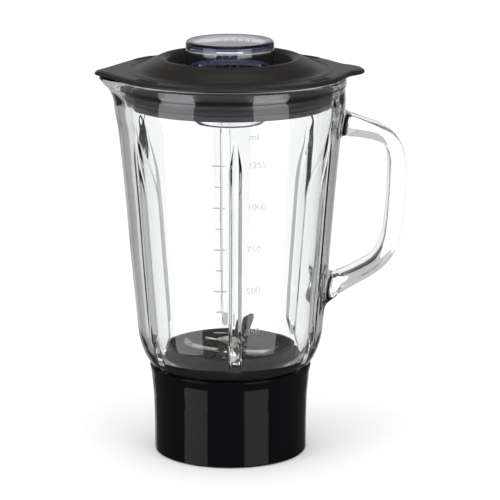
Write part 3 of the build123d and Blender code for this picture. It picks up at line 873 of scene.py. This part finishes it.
# ---------------------------------------------------------------- operators
class JUG_OT_glass(bpy.types.Operator):
    """Build the glass jug with its ribs, spout, handle and measuring scale"""

    bl_idname = "jug.glass"
    bl_label = "Glass jug"

    def execute(self, context):
        jug = context.scene.jug_sizes
        glass = combine(jug_wall(jug), handle_bar(jug), "UNION")
        soften_roots(glass)
        glass.name = "jug_glass"
        dress(glass, "pressed_glass", "jug", "glass_jug")

        texts = jug.scale_numerals.split()[:jug.scale_marks]
        levels = [SCALE_FOOT + SCALE_STEP * index for index in range(len(texts))]
        figures = [numeral(text, 5.6, level) for text, level in zip(texts, levels)]
        figures.append(numeral("ml", 6.4, 206.0))
        dress(joined("jug_figures", figures), "pressed_glass", "jug", look="figures")

        wall = OUTER_WALL(levels[0])
        lean = (OUTER_WALL(levels[-1]) - wall) / (len(levels) - 1)
        for name, radius, height, half_long, half_high, count in (
            ("jug_long_marks", wall + MARK_LIFT, SCALE_FOOT, 4.2, 0.4, len(levels)),
            ("jug_short_marks", wall + lean / 2, SCALE_FOOT + SCALE_STEP / 2, 2.4, 0.35, len(levels) - 1),
        ):
            mark = pebble(name, (radius, 0.0, height), (MARK_RELIEF, half_long, half_high), 0.7)
            dressed_ring(mark, "pressed_glass", "jug", count, "figures",
                         start=MARK_ANGLE, step=0.0, rise=SCALE_STEP, outwards=lean)
        return {"FINISHED"}


class JUG_OT_collar(bpy.types.Operator):
    """Build the flared collar with its bayonet lugs"""

    bl_idname = "jug.collar"
    bl_label = "Collar"

    def execute(self, context):
        collar = turned("collar_shell", [
            (44.2, 0.0, 0.4), (46.5, 0.0, 0.8), (46.5, 18.0, 6.0), (46.9, 34.0, 8.0), (48.2, 48.0, 14.0),
            (49.2, 53.2, 0.7), (48.7, 54.0, 0.5), (47.8, 54.0, 0.6), (44.7, 44.0, 0.6), (44.6, 29.5, 0.3),
            (31.0, 29.5, 0.5), (31.0, 26.0, 0.5), (44.2, 26.0, 0.4),
        ], segments=192)
        dress(collar, "collar_gloss_black", "base", "collar")
        lug = shell_arc("collar_lugs", [(42.0, 3.0), (44.9, 3.0), (44.9, 6.0), (42.0, 6.0)], 24.0)
        dressed_ring(lug, "collar_gloss_black", "base", 3, start=18.0)
        return {"FINISHED"}


class JUG_OT_carrier(bpy.types.Operator):
    """Build the blade carrier's bowl with the webs under it"""

    bl_idname = "jug.carrier"
    bl_label = "Blade carrier"

    def execute(self, context):
        bowl = turned("carrier_bowl", [
            (30.0, 29.5, 0.3), (43.6, 29.5, 0.4), (43.6, 32.5, 0.3), (38.5, 32.5, 0.4), (39.0, 48.0, 2.0),
            (39.7, 60.0, 2.0), (39.7, 65.4, 0.8), (38.4, 66.0, 0.6), (37.3, 65.4, 0.8), (37.2, 60.0, 2.5),
            (33.0, 53.4, 5.0), (24.0, 52.2, 4.0), (14.6, 52.0, 0.7), (13.0, 55.0, 0.7), (11.0, 55.0, 0.3),
            (11.0, 53.6, 0.1), (8.6, 53.6, 0.1), (8.6, 35.0, 0.2), (12.5, 35.0, 0.4), (13.0, 49.4, 1.0),
            (32.0, 49.4, 2.0), (36.1, 46.4, 1.5), (36.1, 32.5, 0.4), (30.0, 32.5, 0.3),
        ], segments=160)
        dress(bowl, "moulded_black", "blade_unit", "blade_carrier")
        web = pebble("carrier_webs", (24.0, 0.0, 43.5), (11.8, 1.0, 6.4), 0.16)
        dressed_ring(web, "moulded_black", "blade_unit", 6)
        return {"FINISHED"}


class JUG_OT_blades(bpy.types.Operator):
    """Build the two blade stampings and the head that clamps them"""

    bl_idname = "jug.blades"
    bl_label = "Blades"

    def execute(self, context):
        sizes = context.scene.blade_sizes
        thick = sizes.thickness / MM
        turn = math.degrees(sizes.turn)
        half = thick / 2
        upper = wing_plate(
            "upper_wing",
            [(5.0, half), (9.0, half + 0.1), (13.0, 2.2), (17.6, 5.2), (22.2, 8.3), (26.8, 11.2), (31.0, 13.4)],
            [15.0, 12.6, 11.6, 11.2, 10.4, 8.2, 2.6], [0.0, 0.0, 0.1, 0.3, 0.0, -1.0, -2.8], thick, 0.28,
        )
        lower = wing_plate(
            "lower_wing",
            [(4.0, half), (9.0, half), (16.0, half + 0.3), (22.6, half + 0.9), (26.2, 2.6), (29.2, 5.0), (31.0, 6.8)],
            [16.0, 13.4, 12.4, 11.2, 9.8, 7.6, 4.2], [0.0, 0.0, -0.2, -0.7, -1.1, -1.3, -1.6], thick, 0.22,
        )
        steel = finish("blade_steel")
        for name, wing, hub_z, start, node in (
            ("upper_blade_stamping", upper, 63.6, turn, "upper_blade"),
            ("lower_blade_stamping", lower, 58.6, turn + 90.0, "lower_blade"),
        ):
            for vertex in wing.data.vertices:
                vertex.co.z += hub_z * MM
            ring_array(wing, steel, 2, start, crease=WING_CREASE)
            hub = turned("hub", [
                (SHAFT_HOLE, hub_z, 0.1), (HUB_RADIUS, hub_z, 0.3), (HUB_RADIUS, hub_z + thick, 0.3),
                (SHAFT_HOLE, hub_z + thick, 0.1),
            ], segments=72)
            dress(joined(name, [wing, hub], WING_CREASE), "blade_steel", "rotor", node)

        head = turned("blade_clamp_head", [
            (0.0, 69.3), (6.4, 69.25, 1.5), (7.9, 68.7, 0.5), (8.6, 67.8, 0.7), (8.6, 65.15, 0.3),
            (SHAFT_HOLE, 65.15, 0.1), (SHAFT_HOLE, 67.65, 0.1), (0.0, 67.65),
        ], closed=False, segments=96)
        punch = pebble("punch", (4.9, 0.0, 69.4), (0.85, 0.85, 0.55), 1.0)
        ring_array(punch, steel, 3, turn + 30.0)
        combine(head, punch, "DIFFERENCE")
        dress(head, "blade_steel", "rotor", "blade_head")
        return {"FINISHED"}


class JUG_OT_lid(bpy.types.Operator):
    """Build the lid with its tabs, crest, grip marks and lip seal"""

    bl_idname = "jug.lid"
    bl_label = "Lid and seal"

    def execute(self, context):
        sizes = context.scene.lid_sizes
        lid = shell("lid_moulding", lid_angles(), lid_outline, True, 34.0)
        lid.data.materials.append(finish("lid_satin_black"))
        lid.data.materials.append(finish("skirt"))
        for face in lid.data.polygons:
            middle = face.center / MM
            if middle.z < SKIRT_TOP and math.hypot(middle.x, middle.y) > SKIRT_INSIDE:
                face.material_index = 1
        dress(lid, "lid_satin_black", "lid", "lid")

        spacing = 2.1
        half_group = spacing * (sizes.grip_marks - 1) / 2
        for number, middle in enumerate((40.0, 140.0, -140.0, -40.0), 1):
            mark = pebble(f"lid_grip_marks_{number}", (66.0, 0.0, LID_FACE), (2.4, 0.36, 0.42), 0.6)
            dressed_ring(mark, "lid_satin_black", "lid", sizes.grip_marks, start=middle - half_group, step=spacing)

        low, high = 217.5, 228.3
        seal = turned("lid_lip_seal", [
            (60.05, low, 0.2), (61.6, low, 0.3), (61.6, 218.7, 0.2), (64.6, 219.6, 0.2), (64.9, 220.3, 0.3),
            (64.5, 220.8, 0.2), (61.6, 220.5, 0.3), (61.6, 223.5, 0.3), (64.6, 224.4, 0.2), (64.9, 225.1, 0.3),
            (64.5, 225.6, 0.2), (61.6, 225.3, 0.3), (61.6, high, 0.3), (60.05, high, 0.2),
        ], segments=160)
        dress(seal, "black_silicone", "lid", "lid_seal")
        return {"FINISHED"}


class JUG_OT_cap(bpy.types.Operator):
    """Build the clear measuring cap with its flange, lugs and inner ribs"""

    bl_idname = "jug.cap"
    bl_label = "Measuring cap"

    def execute(self, context):
        ribs = context.scene.lid_sizes.cap_ribs
        cap = turned("cap_tumbler", [
            (0.0, CAP_TOP), (25.6, CAP_TOP, 1.6), (26.5, 250.6, 1.0), (26.5, 236.2, 0.5), (32.6, 236.9, 0.4),
            (33.0, 236.4, 0.3), (32.6, 235.5, 0.4), (28.6, 233.25, 0.6), (26.5, 233.25, 0.4),
            (26.5, 203.8, 0.9), (24.3, 203.8, 0.9), (24.3, 247.4, 1.5), (22.3, 249.2, 1.5), (0.0, 249.2),
        ], closed=False, segments=160)
        dress(cap, "clear_plastic", "cap", "measuring_cap")
        for name, start in (("cap_front_ribs", -124.0), ("cap_back_ribs", 56.0)):
            rib = pebble(name, (24.15, 0.0, 242.0), (0.55, 0.42, 4.9), 0.5)
            dressed_ring(rib, "clear_plastic", "cap", ribs, start=start, step=10.5)
        lug = pebble("cap_lugs", (27.4, 0.0, 225.3), (1.75, 6.0, 2.2), 0.3)
        dressed_ring(lug, "clear_plastic", "cap", 2)
        return {"FINISHED"}


class JUG_OT_small_parts(bpy.types.Operator):
    """Give the carried-over bearing, shaft, washers and coupling their finishes"""

    bl_idname = "jug.small_parts"
    bl_label = "Bearing, shaft and coupling"

    def execute(self, context):
        slots = {
            "jug_gasket": "silicone",
            "bearing_housing": "turned_steel",
            "housing_seal": "silicone",
            "housing_nut": "turned_steel",
            "upper_bush": "bush_bronze",
            "lower_bush": "bush_bronze",
            "shaft_seal": "black_rubber",
            "drive_shaft": "turned_steel",
            "thrust_washer": "turned_steel",
            "circlip": "turned_steel",
            "slinger_washer": "turned_steel",
            "blade_spacer": "turned_steel",
            "drive_coupling": "moulded_black",
            "coupling_insert": "brass",
        }
        for node, slot in slots.items():
            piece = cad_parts[node]
            if not piece.material_slots:
                piece.data.materials.append(finish(slot))
            for holder in piece.material_slots:
                holder.material = finish(slot)
        return {"FINISHED"}


# The room is darker in reflections than straight behind the glass, which gives the glass its dark edges.
ROOM_IN_GLASS, ROOM_MIRRORED = 0.26, 0.13


def facing(place, aim):
    """The rotation that points a light or a camera from its place at something."""
    return (Vector(aim) - Vector(place)).to_track_quat("-Z", "Y").to_euler()


class JUG_OT_stage(bpy.types.Operator):
    """Build the floor, the lights and the camera"""

    bl_idname = "jug.stage"
    bl_label = "Stage"

    def execute(self, context):
        scene = context.scene
        looks = scene.jug_stage
        scene.view_settings.view_transform = "Standard"

        wide, low = 4000, -0.4
        corners = [(-wide, -wide, low), (wide, -wide, low), (wide, wide, low), (-wide, wide, low)]
        floor = mesh_object("floor", corners, [(0, 1, 2, 3)])
        material, _, shader, _ = begin("matt studio paper")
        shader.inputs["Base Color"].default_value = (*looks.floor_colour, 1.0)
        set_shader(shader, Roughness=0.9, Specular_IOR_Level=0.1)
        floor.data.materials.append(material)
        floor.visible_glossy = False

        for name, place, aim, wide, tall, bright in (
            ("box left", (-1.1, -0.72, 0.05), (0.0, 0.0, 0.05), 0.9, 1.7, looks.strip_brightness),
            ("box right", (0.78, -1.06, 0.05), (0.0, 0.0, 0.05), 0.9, 1.7, looks.strip_brightness),
            ("back panel", (0.0, 2.2, 0.1), (0.0, 0.0, 0.1), 2.2, 2.6, 0.45),
            ("top", (0.0, -0.2, 1.5), (0.0, 0.0, 0.1), 0.9, 0.9, 1.0),
        ):
            light = bpy.data.lights.new(name, "AREA")
            light.shape = "RECTANGLE"
            light.size = wide
            light.size_y = tall
            light.energy = bright * math.pi * wide * tall
            holder = bpy.data.objects.new(name, light)
            holder.location = place
            holder.rotation_euler = facing(place, aim)
            holder.visible_camera = False
            scene.collection.objects.link(holder)

        world = bpy.data.worlds.new("studio")
        scene.world = world
        world.use_nodes = True
        tree = world.node_tree
        background = tree.nodes["Background"]
        path = add(tree, "ShaderNodeLightPath").outputs
        bounced = add(tree, "ShaderNodeMath", {0: path["Glossy Depth"]}, {1: 0.5},
                      operation="GREATER_THAN").outputs[0]
        inner = add(tree, "ShaderNodeMix", {"Factor": bounced}, {"A": 1.0, "B": ROOM_IN_GLASS}, data_type="FLOAT")
        outer = add(tree, "ShaderNodeMix", {"Factor": path["Is Glossy Ray"], "A": inner.outputs["Result"]},
                    {"B": ROOM_MIRRORED}, data_type="FLOAT")
        tree.links.new(outer.outputs["Result"], background.inputs["Strength"])
        background.inputs["Color"].default_value = (1.0, 1.0, 1.0, 1.0)

        lens = bpy.data.cameras.new("camera")
        lens.lens = looks.lens
        lens.clip_end = 20.0
        camera = bpy.data.objects.new("camera", lens)
        camera.location = looks.camera_place
        camera.rotation_euler = facing(looks.camera_place, looks.camera_aim)
        scene.collection.objects.link(camera)
        scene.camera = camera
        return {"FINISHED"}


class JUG_PT_panel(bpy.types.Panel):
    """Lists the jug's operators and sizes"""

    bl_idname = "JUG_PT_panel"
    bl_label = "Blender jug"
    bl_space_type = "VIEW_3D"
    bl_region_type = "UI"
    bl_category = "Blender jug"

    def draw(self, context):
        for operator in OPERATORS:
            self.layout.operator(operator.bl_idname)
        for group in SETTINGS:
            sizes = getattr(context.scene, group)
            for name in sizes.__annotations__:
                self.layout.prop(sizes, name)


OPERATORS = (
    JUG_OT_glass,
    JUG_OT_collar,
    JUG_OT_carrier,
    JUG_OT_blades,
    JUG_OT_lid,
    JUG_OT_cap,
    JUG_OT_small_parts,
    JUG_OT_stage,
)
SETTINGS = {"jug_sizes": JugSizes, "lid_sizes": LidSizes, "blade_sizes": BladeSizes, "jug_stage": StageLooks}
CLASSES = (*SETTINGS.values(), *OPERATORS, JUG_PT_panel)


def register():
    """Register the classes and hang the settings on the scene."""
    for kind in CLASSES:
        bpy.utils.register_class(kind)
    for name, kind in SETTINGS.items():
        setattr(bpy.types.Scene, name, PointerProperty(type=kind))


def unregister():
    """Take the settings off the scene and unregister the classes."""
    for name in SETTINGS:
        delattr(bpy.types.Scene, name)
    for kind in reversed(CLASSES):
        bpy.utils.unregister_class(kind)


def main():
    """Build every piece and the stage."""
    register()
    bpy.ops.jug.glass()
    bpy.ops.jug.collar()
    bpy.ops.jug.carrier()
    bpy.ops.jug.blades()
    bpy.ops.jug.lid()
    bpy.ops.jug.cap()
    bpy.ops.jug.small_parts()
    bpy.ops.jug.stage()


if __name__ == "__main__":
    main()
